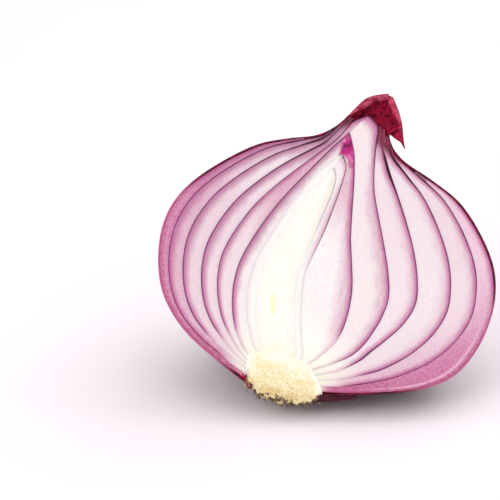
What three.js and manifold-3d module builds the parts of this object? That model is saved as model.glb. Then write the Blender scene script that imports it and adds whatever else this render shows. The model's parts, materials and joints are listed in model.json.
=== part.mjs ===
// Half of a red onion, cut from neck to root and lying back on its rounded side.
//
// The bulb is drawn upright in a frame of its own, in millimetres: x runs across the cut
// face, y runs from root to neck, and z points out of the cut face. Every layer of the onion
// is a half tube of revolution with a lopsided outline, because the bulb did not grow evenly.
// The finished bulb is then leaned back and set down on the flat spot under its back.

import * as THREE from 'three';
import { mergeVertices } from 'three/addons/utils/BufferGeometryUtils.js';
import Module from 'manifold-3d';

// Driving dimensions of the bulb
const BULB_WIDTH = 82.4;
const BULB_DEPTH = 40;
const BULB_HEIGHT = 62;
const SKIN_THICKNESS = 0.4;
const LAYER_GAP = 0.3;

// How the half lies: the cut face leans back from upright, and the neck leans to the right.
const FACE_LEAN = THREE.MathUtils.degToRad(30);
const NECK_LEAN = THREE.MathUtils.degToRad(17);
const FLAT_SPOT_DEPTH = 1.4;

// The pale shoot that starts inside the heart
const SHOOT_LENGTH = 6.4;
const SHOOT_WIDTH = 2.4;
const SHOOT_PLACE = { across: -0.245, up: 0.326 };
const SHOOT_LEAN = THREE.MathUtils.degToRad(20);

// Facets round the back, and how far apart the rows of facets are, in stations. The last row
// before a tip keeps at least the smallest step from it.
const COLUMNS = 12;
const ROW_STEP = 0.5;
const SMALLEST_STEP = 0.2;

// Two corners nearer than this are one corner.
const SAME_POINT = 1e-5;

// Outlines on the cut face. A station is [across, up], in halves of the bulb's width and in
// bulb heights, and stations of the same number lie side by side: root, lower flank, low
// belly, belly, upper flank, shoulder, foot of the neck, neck. The last one is the tip.
const OUTSIDE = {
  left: [[-0.279, 0.005], [-0.655, 0.110], [-0.898, 0.258], [-0.998, 0.484], [-0.913, 0.685],
    [-0.607, 0.903], [-0.306, 1.000], [-0.190, 1.068], [-0.130, 1.139], [-0.058, 1.210]],
  right: [[0.201, 0.042], [0.655, 0.150], [0.910, 0.279], [1.002, 0.500], [0.927, 0.718],
    [0.631, 0.916], [0.267, 1.003], [0.155, 1.058], [0.189, 1.106], [0.155, 1.169]],
  tip: [0.061, 1.248],
};
const COLUMN = {
  left: [[-0.306, 0.085], [-0.456, 0.174], [-0.566, 0.290], [-0.614, 0.460], [-0.515, 0.677],
    [-0.340, 0.858], [-0.208, 0.975], [-0.138, 1.045], [-0.104, 1.100]],
  right: [[0.102, 0.126], [0.279, 0.218], [0.364, 0.331], [0.393, 0.484], [0.286, 0.661],
    [0.136, 0.855], [0.078, 0.992], [0.061, 1.053], [0.039, 1.113]],
  tip: [-0.029, 1.139],
};
const HEART_TUBE = {
  left: [[-0.316, 0.111], [-0.413, 0.190], [-0.485, 0.306], [-0.502, 0.460], [-0.408, 0.677],
    [-0.279, 0.855], [-0.182, 0.976]],
  right: [[0.073, 0.150], [0.165, 0.242], [0.194, 0.347], [0.170, 0.484], [0.080, 0.661],
    [0.010, 0.855], [-0.044, 0.977]],
  tip: [-0.109, 1.055],
};
const HEART_LEAF = {
  left: [[-0.274, 0.132], [-0.354, 0.226], [-0.405, 0.331], [-0.420, 0.460], [-0.350, 0.645],
    [-0.255, 0.823], [-0.172, 0.918]],
  right: [[0.024, 0.156], [-0.032, 0.250], [-0.080, 0.355], [-0.112, 0.484], [-0.080, 0.645],
    [-0.063, 0.806], [-0.066, 0.918]],
  tip: [-0.107, 0.960],
};
const HEART_BUD = {
  left: [[-0.233, 0.145], [-0.306, 0.234], [-0.347, 0.334], [-0.364, 0.460], [-0.303, 0.637],
    [-0.226, 0.790], [-0.176, 0.866]],
  right: [[-0.015, 0.160], [-0.078, 0.258], [-0.126, 0.361], [-0.155, 0.484], [-0.126, 0.645],
    [-0.102, 0.790], [-0.104, 0.866]],
  tip: [-0.138, 0.906],
};

// Where the faces between scales 1 to 4 lie, as shares of the way in from the outside to the
// column, the stations between which the shares change, and where each scale dries to its tip
const ROOT_SHARES = [0.32, 0.55, 0.77];
const BELLY_SHARES = [0.175, 0.416, 0.727];
const NECK_SHARES = [0.1, 0.15, 0.3];
const ROOT_TURN = { from: 0, to: 1.5 };
const NECK_TURN = { from: 5.7, to: 7 };
const TIP_STATIONS = [5.4, 6.15, 6.4, 7];

// The right flank grew thicker on its outer side, so there the shares are larger. The extra
// shares rise up to one station and ease off again to the last.
const RIGHT_FLANK = { extras: [0.168, 0.142, 0.148], from: 0.2, full: 1.35, to: 3.2 };

// The root plate under the scales
const PLATE_BOTTOM = [-0.049, -0.032];
const PLATE_UNDERSIDE = { left: [-0.182, -0.021], right: [0.097, -0.010] };
const PLATE_TOP = [-0.110, 0.150];
const PLATE_INSET = 0.6;

// A pointed tip moves down by this many times the distance that its sides move in.
const TIP_DROP = 1.5;

const HALF_WIDTH = BULB_WIDTH / 2;
const DEPTH_SHARE = BULB_DEPTH / HALF_WIDTH;

// The turn that lays the bulb down, and the upward direction as the upright bulb sees it
const LYING = new THREE.Quaternion().setFromEuler(
  new THREE.Euler(Math.PI / 2 - FACE_LEAN, 0, -NECK_LEAN),
);
const UP = new THREE.Vector3(0, 0, 1).applyQuaternion(LYING.clone().invert());

const wasm = await Module();
wasm.setup();

// ---------------------------------------------------------------------- outlines

const place = ([across, up]) => new THREE.Vector2(across * HALF_WIDTH, up * BULB_HEIGHT);

// The left and right curves of an outline, and its last station
function drawOutline({ left, right, tip }) {
  return {
    left: new THREE.SplineCurve([...left, tip].map(place)),
    right: new THREE.SplineCurve([...right, tip].map(place)),
    last: left.length,
  };
}

const outside = drawOutline(OUTSIDE);
const column = drawOutline(COLUMN);
const heartTube = drawOutline(HEART_TUBE);
const heartLeaf = drawOutline(HEART_LEAF);
const heartBud = drawOutline(HEART_BUD);

// A point of one side of an outline, moved inwards by a distance. The tip moves straight down.
function inwards(outline, side, station, distance) {
  const share = station / outline.last;
  const point = outline[side].getPoint(share);
  if (station === outline.last) {
    return point.add(new THREE.Vector2(0, -TIP_DROP * distance));
  }
  const tangent = outline[side].getTangent(share);
  const turn = side === 'left' ? 1 : -1;
  return point.add(new THREE.Vector2(turn * tangent.y, -turn * tangent.x).multiplyScalar(distance));
}

// A face that follows one outline at a distance inside it (outside it where negative)
function offsetFace(outline, distance, last = outline.last) {
  const at = (side, station) => inwards(outline, side, station, distance);
  return { at, last, closed: last === outline.last };
}

function shareAt(index, side, station) {
  const aboveRoot = THREE.MathUtils.smoothstep(station, ROOT_TURN.from, ROOT_TURN.to);
  const intoNeck = THREE.MathUtils.smoothstep(station, NECK_TURN.from, NECK_TURN.to);
  const rise = THREE.MathUtils.smoothstep(station, RIGHT_FLANK.from, RIGHT_FLANK.full);
  const fall = THREE.MathUtils.smoothstep(station, RIGHT_FLANK.full, RIGHT_FLANK.to);
  const extra = side === 'right' ? RIGHT_FLANK.extras[index] * (rise - fall) : 0;
  const share = THREE.MathUtils.lerp(ROOT_SHARES[index], BELLY_SHARES[index], aboveRoot);
  return THREE.MathUtils.lerp(share, NECK_SHARES[index], intoNeck) + extra;
}

// A face between scales, at a share of the way from the outside to the column, then moved
// inwards by a distance. It never comes nearer to the outside than the dry skin allows,
// measured square to the skin.
function sharedFace(index, distance, last) {
  const at = (side, station) => {
    const share = shareAt(index, side, station);
    const outer = outside[side].getPoint(station / outside.last);
    const inner = column[side].getPoint(station / column.last);
    const across = inner.clone().sub(outer);
    const square = inwards(outside, side, station, 1).sub(outer);
    const slant = across.dot(square) / across.length();
    const clearance = (SKIN_THICKNESS + LAYER_GAP) / slant;
    const depth = Math.max(share * across.length() + distance / slant, clearance);
    return outer.addScaledVector(across.normalize(), depth);
  };
  return { at, last, closed: false };
}

// ---------------------------------------------------------------------- half shells

// One row of points round the back of the bulb, from the right edge to the left edge
function backRow(face, station) {
  const left = face.at('left', station);
  const right = face.at('right', station);
  const middle = (left.x + right.x) / 2;
  const half = (right.x - left.x) / 2;
  return Array.from({ length: COLUMNS + 1 }, (_, step) => {
    const angle = Math.PI * step / COLUMNS;
    const round = Math.cos(angle);
    const back = step === 0 || step === COLUMNS ? 0 : Math.sin(angle);
    const height = THREE.MathUtils.lerp(right.y, left.y, (1 - round) / 2);
    return new THREE.Vector3(middle + half * round, height, -half * DEPTH_SHARE * back);
  });
}

// All rows of a face, from root to tip, none of them lower than the given level above the floor
function backRows(face, level = -Infinity) {
  const stations = [];
  for (let station = 0; station < face.last - SMALLEST_STEP; station += ROW_STEP) {
    stations.push(station);
  }
  stations.push(face.last);
  const rows = stations.map((station) => backRow(face, station));
  rows.flat().forEach((point) => point.addScaledVector(UP, Math.max(0, level - point.dot(UP))));
  return rows;
}

// Triangles between two rows of the same length
function band(lower, upper) {
  return lower.slice(1).flatMap((_, step) => [
    [lower[step], lower[step + 1], upper[step + 1]],
    [lower[step], upper[step + 1], upper[step]],
  ]);
}

const bands = (rows) => rows.slice(1).flatMap((row, index) => band(rows[index], row));
const edge = (rows, end) => rows.map((row) => row.at(end));
const flipped = (triangles) => triangles.map(([a, b, c]) => [a, c, b]);

// Triangles that fill a closed loop of points on the cut face
function cutFace(loop) {
  const flat = loop.map((point) => new THREE.Vector2(point.x, point.y));
  const clockwise = THREE.ShapeUtils.isClockWise(flat);
  const order = clockwise ? loop.toReversed() : loop;
  const contour = clockwise ? flat.toReversed() : flat;
  return THREE.ShapeUtils.triangulateShape(contour, []).map((face) => face.map((i) => order[i]));
}

function closedGeometry(triangles) {
  const apart = (p, q) => p.distanceTo(q) > SAME_POINT;
  const whole = triangles.filter(([a, b, c]) => apart(a, b) && apart(b, c) && apart(c, a));
  return mergeVertices(new THREE.BufferGeometry().setFromPoints(whole.flat()), SAME_POINT);
}

// A half shell between two faces: a scale, or the dry skin
function halfShell(outerFace, innerFace, levels = {}) {
  const outer = backRows(outerFace, levels.outer);
  const inner = backRows(innerFace, levels.inner);
  const triangles = [
    ...bands(outer),
    ...flipped(bands(inner)),
    ...flipped(band(outer[0], inner[0])),
  ];
  if (outerFace.closed) {
    const rim = [...edge(outer, 0), ...edge(outer, -1).toReversed().slice(1)];
    const bore = [...edge(inner, -1), ...edge(inner, 0).toReversed().slice(1)];
    triangles.push(...cutFace([...rim, ...bore]));
  } else {
    triangles.push(...band(outer.at(-1), inner.at(-1)));
    for (const side of [0, -1]) {
      triangles.push(...cutFace([...edge(outer, side), ...edge(inner, side).toReversed()]));
    }
  }
  return closedGeometry(triangles);
}

// A half solid inside one row of rows that closes at its tip, with a flat root
function halfSolid(rows) {
  const root = rows[0];
  const middle = root[0].clone().lerp(root.at(-1), 0.5);
  const foot = root.slice(1).map((point, step) => [middle, root[step], point]);
  const loop = [middle, ...edge(rows, 0), ...edge(rows, -1).toReversed().slice(1)];
  return closedGeometry([...bands(rows), ...flipped(foot), ...cutFace(loop)]);
}

// ---------------------------------------------------------------------- cuts

function toSolid(geometry) {
  const bare = geometry.clone();
  bare.deleteAttribute('normal');
  bare.deleteAttribute('uv');
  const merged = mergeVertices(bare, SAME_POINT);
  return new wasm.Manifold(new wasm.Mesh({
    numProp: 3,
    vertProperties: new Float32Array(merged.attributes.position.array),
    triVerts: new Uint32Array(merged.index.array),
  }));
}

function cutAway(geometry, tool) {
  const mesh = toSolid(geometry).subtract(toSolid(tool)).getMesh();
  const result = new THREE.BufferGeometry();
  result.setAttribute('position', new THREE.BufferAttribute(mesh.vertProperties, 3));
  result.setIndex(new THREE.BufferAttribute(mesh.triVerts, 1));
  return result;
}

// ---------------------------------------------------------------------- the pieces

// The flat spot lies a little above the lowest point of the rounded back.
const outsideRows = backRows(offsetFace(outside, 0));
const lower = (a, b) => (b.dot(UP) < a.dot(UP) ? b : a);
const lowest = outsideRows.flat().reduce(lower);
const floorLevel = lowest.dot(UP) + FLAT_SPOT_DEPTH;
const restPoint = lowest.clone().addScaledVector(UP, FLAT_SPOT_DEPTH);

// A block whose top face is the floor that the bulb rests on
function floorBlock() {
  const thickness = 20;
  const block = new THREE.BoxGeometry(BULB_WIDTH, BULB_WIDTH, thickness);
  block.applyQuaternion(new THREE.Quaternion().setFromUnitVectors(new THREE.Vector3(0, 0, 1), UP));
  const centre = restPoint.clone().addScaledVector(UP, -thickness / 2);
  return block.translate(centre.x, centre.y, centre.z);
}

function drySkin() {
  const shell = halfShell(offsetFace(outside, 0), offsetFace(outside, SKIN_THICKNESS),
    { inner: floorLevel + SKIN_THICKNESS });
  return cutAway(shell, floorBlock());
}

// Scales 1 to 4 lie between the dry skin and the column, one inside the other.
function outerScale(number) {
  const last = TIP_STATIONS[number - 1];
  const half = LAYER_GAP / 2;
  const outer = number === 1
    ? offsetFace(outside, SKIN_THICKNESS + LAYER_GAP, last)
    : sharedFace(number - 2, half, last);
  const inner = number === 4 ? offsetFace(column, -half, last) : sharedFace(number - 1, -half, last);
  const levels = number === 1 ? { outer: floorLevel + SKIN_THICKNESS + LAYER_GAP } : {};
  return halfShell(outer, inner, levels);
}

// The inner leaves are closed at the top, each over the next one.
function innerLeaf(outer, inner) {
  return halfShell(offsetFace(outer, LAYER_GAP / 2), offsetFace(inner, -LAYER_GAP / 2));
}

// The shoot is a spindle cut in half. Its socket in the bud is the same spindle, larger all
// round by the gap.
function spindle(clearance) {
  const shape = new THREE.SphereGeometry(1, 16, 10);
  shape.scale(SHOOT_WIDTH / 2 + clearance, SHOOT_LENGTH / 2 + clearance, SHOOT_WIDTH / 2 + clearance);
  shape.rotateZ(SHOOT_LEAN);
  const centre = place([SHOOT_PLACE.across, SHOOT_PLACE.up]);
  return shape.translate(centre.x, centre.y, 0);
}

function frontBlock() {
  return new THREE.BoxGeometry(BULB_WIDTH, 3 * BULB_HEIGHT, BULB_DEPTH).translate(0, 0, BULB_DEPTH / 2);
}

function heartBudSolid() {
  const whole = halfSolid(backRows(offsetFace(heartBud, LAYER_GAP / 2)));
  return cutAway(whole, spindle(LAYER_GAP));
}

const greenShoot = () => cutAway(spindle(0), frontBlock());

// The root plate: a low dome whose sides and top follow the roots of the layers round it
function rootPlate() {
  const inset = new THREE.Vector2(PLATE_INSET, 0);
  const below = new THREE.Vector2(0, -PLATE_INSET);
  const profile = (side) => {
    const inward = side === 'left' ? inset : inset.clone().negate();
    const root = (outline) => outline[side].getPoint(0);
    return [
      place(PLATE_BOTTOM),
      place(PLATE_UNDERSIDE[side]),
      root(outside).add(inward),
      root(column).add(inward),
      root(heartTube).add(inward).add(below),
      root(heartLeaf).add(below),
      root(heartBud).add(below),
      place(PLATE_TOP),
    ];
  };
  const sides = { left: profile('left'), right: profile('right') };
  const at = (side, station) => sides[side][station].clone();
  const rows = sides.left.map((_, station) => backRow({ at }, station));
  const loop = [...edge(rows, 0), ...edge(rows, -1).toReversed().slice(1, -1)];
  return closedGeometry([...bands(rows), ...cutFace(loop)]);
}

// ---------------------------------------------------------------------- assembly

const material = (color, roughness) => new THREE.MeshStandardMaterial({ color, roughness, metalness: 0 });

function piece(name, geometry, finish) {
  const mesh = new THREE.Mesh(geometry, finish);
  mesh.name = name;
  return mesh;
}

const skinFinish = material(0x5e1430, 0.35);
const scaleFinish = material(0xe6c4d6, 0.4);
const heartFinish = material(0xf3efdf, 0.4);
const shootFinish = material(0xd9e08a, 0.45);
const plateFinish = material(0xd8b070, 0.9);

const bulb = new THREE.Group();
bulb.add(piece('dry_skin', drySkin(), skinFinish));
for (const number of [1, 2, 3, 4]) {
  bulb.add(piece(`scale_${number}`, outerScale(number), scaleFinish));
}
bulb.add(piece('scale_5', innerLeaf(column, heartTube), scaleFinish));
bulb.add(piece('scale_6', innerLeaf(heartTube, heartLeaf), scaleFinish));
bulb.add(piece('heart_leaf', innerLeaf(heartLeaf, heartBud), heartFinish));
bulb.add(piece('heart_bud', heartBudSolid(), heartFinish));
bulb.add(piece('green_shoot', greenShoot(), shootFinish));
bulb.add(piece('root_plate', rootPlate(), plateFinish));

bulb.quaternion.copy(LYING);
bulb.position.copy(restPoint).applyQuaternion(LYING).negate();

const onion = new THREE.Group();
onion.add(bulb);

export default onion;
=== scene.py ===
"""The looks of half a red onion, built round its CAD frame.

Every layer takes its outline from its CAD node: the corners of the node's cut face are read
from the frame, joined by smooth curves, and carried round the back as in the CAD. Lengths
are in millimetres in the bulb's own frame, in which u runs across the cut face, v runs from
root to neck and w points out of the cut face. They turn into metres when a mesh is made.
"""
import json
import math

import bmesh
import bpy
import numpy as np
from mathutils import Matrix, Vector, noise


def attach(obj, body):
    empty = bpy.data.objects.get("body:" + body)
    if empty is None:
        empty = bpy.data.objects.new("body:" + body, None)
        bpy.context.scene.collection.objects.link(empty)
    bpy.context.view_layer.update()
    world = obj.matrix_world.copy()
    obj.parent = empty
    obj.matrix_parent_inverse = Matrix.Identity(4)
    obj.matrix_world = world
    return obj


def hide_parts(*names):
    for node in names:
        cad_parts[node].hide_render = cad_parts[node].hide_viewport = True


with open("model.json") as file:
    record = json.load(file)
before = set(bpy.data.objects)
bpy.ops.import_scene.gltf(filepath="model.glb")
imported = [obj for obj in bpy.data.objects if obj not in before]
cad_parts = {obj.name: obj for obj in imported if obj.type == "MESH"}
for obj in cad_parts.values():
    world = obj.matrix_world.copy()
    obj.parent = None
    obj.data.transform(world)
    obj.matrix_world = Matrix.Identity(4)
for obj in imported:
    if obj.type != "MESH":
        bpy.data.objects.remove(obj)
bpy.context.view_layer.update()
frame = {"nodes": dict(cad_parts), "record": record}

# ---- sizes, in millimetres

MM = 0.001
SIDES = ("left", "right")

# Where the CAD has things: the neck's lean, the lowest point of the root plate's cut face,
# the foot of the neck, and the gap that it leaves between two layers
NECK_LEAN = math.radians(17)
PLATE_BOTTOM_UV = np.array([-2.0, -2.0])
NECK_FOOT = 62.0
CAD_GAP = 0.3

# The visible layers nearly touch, and the outermost scale grows UNDER_SKIN past the CAD's.
# The cut face of each layer swells a little between its grooves.
SKIN_THICKNESS = 0.42
UNDER_SKIN = 0.25
GROOVE_WIDTH = 0.01
GROOVE_DEPTH = 0.06
CROWN = 0.16
BETWEEN_SCALES = (CAD_GAP - GROOVE_WIDTH) / 2

# Where two layers are one tissue they overlap, and at the root they run into the plate.
JOINED = CAD_GAP / 2 + 0.02
INTO_PLATE = 1.2
ROOT_ROWS = 6
PLATE_MIDDLE = np.array([-2.0, 3.5])

# How finely a layer is divided, from root to tip and round the back
ROWS = 100
COLUMNS = 49

# A CAD corner this near to the cut face, or to the root plate, counts as on it
FACE_TOLERANCE = 0.01
ROOT_REACH = 1.1

# ---- the bulb's own frame

mounts = {mount["name"]: mount for mount in frame["record"]["mounts"]}
FACE_NORMAL = Vector(mounts["cut_face"]["axis"]).normalized()
LEVEL = Vector((1, 0, 0))
UPWARD = FACE_NORMAL.cross(LEVEL)
ACROSS = LEVEL * math.cos(NECK_LEAN) - UPWARD * math.sin(NECK_LEAN)
ALONG = LEVEL * math.sin(NECK_LEAN) + UPWARD * math.cos(NECK_LEAN)
AXES = np.array([ACROSS, ALONG, FACE_NORMAL])
origin = np.array(mounts["cut_face"]["pos_m"])


def to_bulb(points):
    return (np.asarray(points) - origin) @ AXES.T / MM


def to_world(points):
    return np.asarray(points) * MM @ AXES + origin


def node_points(node):
    return to_bulb([vertex.co for vertex in frame["nodes"][node].data.vertices])


plate_points = node_points("root_plate")
plate_lowest = plate_points[np.abs(plate_points[:, 2]) < FACE_TOLERANCE]
plate_lowest = plate_lowest[plate_lowest[:, 1].argmin()]
origin = to_world([*(plate_lowest[:2] - PLATE_BOTTOM_UV), 0])

skin_points = node_points("dry_skin")
DEPTH_SHARE = -skin_points[:, 2].min() / (np.ptp(skin_points[:, 0]) / 2)

# ---- outlines read from the CAD


def face_loops(node):
    """Outlines of a node's cut face, largest first, each running anticlockwise."""
    corners = [tuple(np.round(point, 3) + 0.0) for point in node_points(node)]
    sides = set()
    for polygon in frame["nodes"][node].data.polygons:
        face = [corners[index] for index in polygon.vertices]
        if all(abs(corner[2]) < FACE_TOLERANCE for corner in face):
            sides.update(zip(face, face[1:] + face[:1]))
    after = {start: end for start, end in sides if (end, start) not in sides}
    loops = []
    while after:
        loop = [next(iter(sorted(after)))]
        while loop[-1] in after:
            loop.append(after.pop(loop[-1]))
        loops.append(np.array(loop[:-1])[:, :2])
    return sorted(loops, key=lambda loop: -np.ptp(loop[:, 1]) * np.ptp(loop[:, 0]))


def between(loop, start, end):
    """The corners of a loop from one index to another, both included."""
    count = (end - start) % len(loop) + 1
    return loop[(start + np.arange(count)) % len(loop)]


plate_loop = face_loops("root_plate")[0]


def distance_to_plate(point):
    starts, ends = plate_loop, np.roll(plate_loop, -1, axis=0)
    along = ends - starts
    share = np.clip(((point - starts) * along).sum(1) / (along ** 2).sum(1), 0, 1)
    return np.linalg.norm(starts + along * share[:, None] - point, axis=1).min()


def root_corners(loop):
    """Which corners of a loop lie at the root plate."""
    return [index for index, point in enumerate(loop) if distance_to_plate(point) < ROOT_REACH]


def open_layer(node):
    """Outer and inner curves, root to tip, of both bands of a layer that is open at the top."""
    sides = {}
    for loop in face_loops(node)[:2]:
        roots = root_corners(loop)
        first = roots[0] if (roots[0] + 1) % len(loop) not in roots else roots[1]
        chain = between(loop, first, first - 1)
        half = len(chain) // 2
        if chain[:, 0].mean() < 0:
            sides["left"] = (chain[half:][::-1], chain[:half])
        else:
            sides["right"] = (chain[:half], chain[half:][::-1])
    return sides


def over_the_top(chain):
    """Splits a curve that goes up one side, over the tip and down the other."""
    tip = chain[:, 1].argmax()
    return chain[tip:][::-1], chain[:tip + 1]


def closed_layer(node):
    """The same for a layer that closes over the next one."""
    loop = face_loops(node)[0]
    roots = sorted(root_corners(loop), key=lambda index: loop[index][0])
    left_outer, left_inner = sorted(roots[:2], key=lambda index: loop[index][1])
    right_outer, right_inner = sorted(roots[-2:], key=lambda index: loop[index][1])
    outer_left, outer_right = over_the_top(between(loop, right_outer, left_outer))
    inner_right, inner_left = over_the_top(between(loop, left_inner, right_inner)[::-1])[::-1]
    return {"left": (outer_left, inner_left), "right": (outer_right, inner_right)}


def solid_outline(node):
    """Left and right curves of a layer that is solid: from its root, or from its lowest point."""
    loop = face_loops(node)[0]
    roots = root_corners(loop) if node == "heart_bud" else [loop[:, 1].argmin()]
    start = max(roots, key=lambda index: loop[index][0])
    end = min(roots, key=lambda index: loop[index][0])
    chain = between(loop, start, end) if start != end else np.vstack([
        between(loop, start, start - 1), loop[start:start + 1]])
    return over_the_top(chain)


# ---- curves


def spline(corners, at):
    """A smooth curve through corners; at holds places along it from 0 to 1."""
    corners = np.vstack([2 * corners[0] - corners[1], corners, 2 * corners[-1] - corners[-2]])
    place = np.clip(np.asarray(at), 0, 1) * (len(corners) - 3)
    start = np.minimum(place.astype(int), len(corners) - 4)
    t = (place - start)[:, None]
    a, b, c, d = (corners[start + step] for step in range(4))
    return 0.5 * (2 * b + (c - a) * t + (2 * a - 5 * b + 4 * c - d) * t ** 2
                  + (3 * b - a - 3 * c + d) * t ** 3)


def moved_out(curve, side, distance, closed=False):
    """Moves a curve away from the bulb's middle by a distance, square to itself."""
    tangent = np.gradient(curve, axis=0)
    tangent /= np.maximum(np.linalg.norm(tangent, axis=1, keepdims=True), 1e-9)
    turn = -1 if side == "left" else 1
    normal = np.stack([turn * tangent[:, 1], -turn * tangent[:, 0]], axis=1)
    moved = curve + normal * np.reshape(distance, (-1, 1))
    if closed:
        moved[-1] = curve[-1] + np.array([0, np.ravel(distance)[-1]])
    return moved


def smooth(x, low, high):
    """0 below low, 1 above high and an even turn between them, which may run downwards."""
    t = np.clip((np.asarray(x, dtype=float) - low) / (high - low), 0, 1)
    return t * t * (3 - 2 * t)


def mix(a, b, share):
    return a + (b - a) * share


def rough(points, size, seed=0.0):
    """Smooth noise from -1 to 1 at each point, with features of about the given size."""
    flat = np.asarray(points, dtype=float).reshape(-1, 3) / size + seed * 17.3
    values = [noise.noise(Vector(point)) for point in flat]
    return np.array(values).reshape(np.asarray(points).shape[:-1])


def half_tube(left, right, columns=COLUMNS):
    """Points round the back between two side curves, one row for each pair of points."""
    middle = (left[:, 0] + right[:, 0])[:, None] / 2
    half = (right[:, 0] - left[:, 0])[:, None] / 2
    angle = math.pi * np.linspace(0, 1, columns)[None, :]
    v = mix(right[:, 1][:, None], left[:, 1][:, None], (1 - np.cos(angle)) / 2)
    return np.stack([middle + half * np.cos(angle), v, -half * DEPTH_SHARE * np.sin(angle)], axis=-1)


def unit_normals(grid):
    """Directions square to a grid of points."""
    normal = np.cross(np.gradient(grid, axis=1), np.gradient(grid, axis=0))
    return normal / np.maximum(np.linalg.norm(normal, axis=-1, keepdims=True), 1e-9)


# ---- pieces

# What a point of a layer knows about itself, for the materials to read:
#   out     distance from the layer's outer side, in mm
#   into    distance from its inner side, in mm
#   line    how dark its outer side is, 0 to 1
#   pink    how much of the skin's colour has gone into it, 0 to 1
#   blush   how much of the bright magenta of a leaf tip it has, 0 to 1
#   dry     how far it has dried to paper, 0 to 1
#   height  v, in mm
#   around  angle round the back
# The dry skin is thin, so it uses two of them its own way: into is 1 on its hidden side and
# blush is 1 on its curled lip. In the root plate, dry is how brown a root is.
MEASURES = ("out", "into", "line", "pink", "blush", "dry", "height", "around")


class Shape:
    """Grids of points that end up welded into one mesh, with measures at their points."""

    def __init__(self):
        self.points, self.faces, self.values, self.count = [], [], [], 0

    def add(self, points, **measures):
        rows, columns = points.shape[:2]
        index = np.arange(rows * columns).reshape(rows, columns) + self.count
        quads = np.stack([index[:-1, :-1], index[:-1, 1:], index[1:, 1:], index[1:, :-1]], axis=-1)
        self.points.append(points.reshape(-1, 3))
        self.faces.append(quads.reshape(-1, 4))
        measures.setdefault("height", points[..., 1])
        table = [np.broadcast_to(measures.get(name, 0.0), (rows, columns)) for name in MEASURES]
        self.values.append(np.stack(table, axis=-1).reshape(-1, len(MEASURES)))
        self.count += rows * columns

    def build(self, name, material, slot, node, lowest=None):
        """Makes the visible piece that replaces a node, with nothing below the lowest height."""
        world = to_world(np.vstack(self.points))
        if lowest is not None:
            world[:, 2] = np.maximum(world[:, 2], lowest * MM)
        mesh = bpy.data.meshes.new(name)
        mesh.from_pydata(world.tolist(), [], np.vstack(self.faces).tolist())
        for column, measure in enumerate(MEASURES):
            layer = mesh.attributes.new(measure, "FLOAT", "POINT")
            layer.data.foreach_set("value", np.vstack(self.values)[:, column].astype(np.float32))
        weld(mesh)
        mesh.materials.append(material)
        piece = add_object(name, mesh)
        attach(piece, "root")
        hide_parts(node)


def add_object(name, data):
    thing = bpy.data.objects.new(name, data)
    bpy.context.scene.collection.objects.link(thing)
    return thing


def weld(mesh):
    """Joins a mesh's touching edges and turns all of its faces outwards."""
    work = bmesh.new()
    work.from_mesh(mesh)
    bmesh.ops.remove_doubles(work, verts=work.verts, dist=0.001 * MM)
    bmesh.ops.dissolve_degenerate(work, edges=work.edges, dist=0.0005 * MM)
    bmesh.ops.recalc_face_normals(work, faces=work.faces)
    for face in work.faces:
        face.smooth = True
    work.to_mesh(mesh)
    work.free()


# ---- the scales

# Steps across a band from its outer side: rounded edges first, then even shares of the rest
EDGE_STEPS = np.array([0.0, 0.1, 0.28])
EDGE_DROP = np.array([1.0, 0.42, 0.08])
INNER_SHARES = np.linspace(0, 1, 9)[1:-1]

# A distance at which nothing of a layer's other side shows, in mm
FAR_INSIDE = 3.0


def band_steps(width):
    """Distances across a band for each row, and how far down each of them is rounded off."""
    squeeze = np.minimum(width / 4 / EDGE_STEPS[-1], 1)
    edge = EDGE_STEPS[None, :] * squeeze[:, None]
    rest = edge[:, -1:] + (width[:, None] - 2 * edge[:, -1:]) * INNER_SHARES[None, :]
    steps = np.hstack([edge, rest, width[:, None] - edge[:, ::-1]])
    drop = np.concatenate([EDGE_DROP, 0 * INNER_SHARES, EDGE_DROP[::-1]])
    return steps, drop


def run_from_root(curve):
    """Distance along a curve from its root end, in mm."""
    return np.concatenate([[0], np.cumsum(np.linalg.norm(np.diff(curve, axis=0), axis=1))])


def cut_surface(points):
    """The faint waver that a knife leaves."""
    return 0.05 * rough(points, 2.2, 1) + 0.07 * rough(points, 6.0, 4)


def side_curves(corners, side, look, closed):
    """Fine outer and inner curves of a band, and how far open the gaps beside it are.

    The curves run through the CAD's corners. The gaps are nearly closed, and quite closed
    where two layers are one tissue. The root ends run on into the root plate.
    """
    at = np.linspace(0, 1, ROWS)
    curves, gaps = [], []
    for name, chain in zip(("outer", "inner"), corners):
        curve = spline(chain, at)
        gap = look["gap"](name, side, curve[:, 1], run_from_root(curve))
        nearly_shut = look["reach"] if name == "outer" else BETWEEN_SCALES
        grow = mix(JOINED, nearly_shut, gap)
        curve = moved_out(curve, side, grow if name == "outer" else -grow, closed)
        towards = PLATE_MIDDLE - curve[0]
        towards *= INTO_PLATE / np.linalg.norm(towards)
        curve[:ROOT_ROWS] += towards * np.linspace(1, 0, ROOT_ROWS)[:, None] ** 2
        curves.append(curve)
        gaps.append(gap)
    return *curves, *gaps


def shrink_in_neck(v):
    """The neck is dry and folded in, so it is less deep than the bulb."""
    return 1 - 0.5 * smooth(v, 58, 68)


def behind(left, right, left_lift, right_lift):
    """A layer's surface round the back, from the heights at which its cut face ends."""
    grid = half_tube(left, right)
    grid[..., 2] *= shrink_in_neck(grid[..., 1])
    grid[..., 2] += mix(right_lift[:, None], left_lift[:, None], np.linspace(0, 1, COLUMNS))
    return grid


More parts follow.
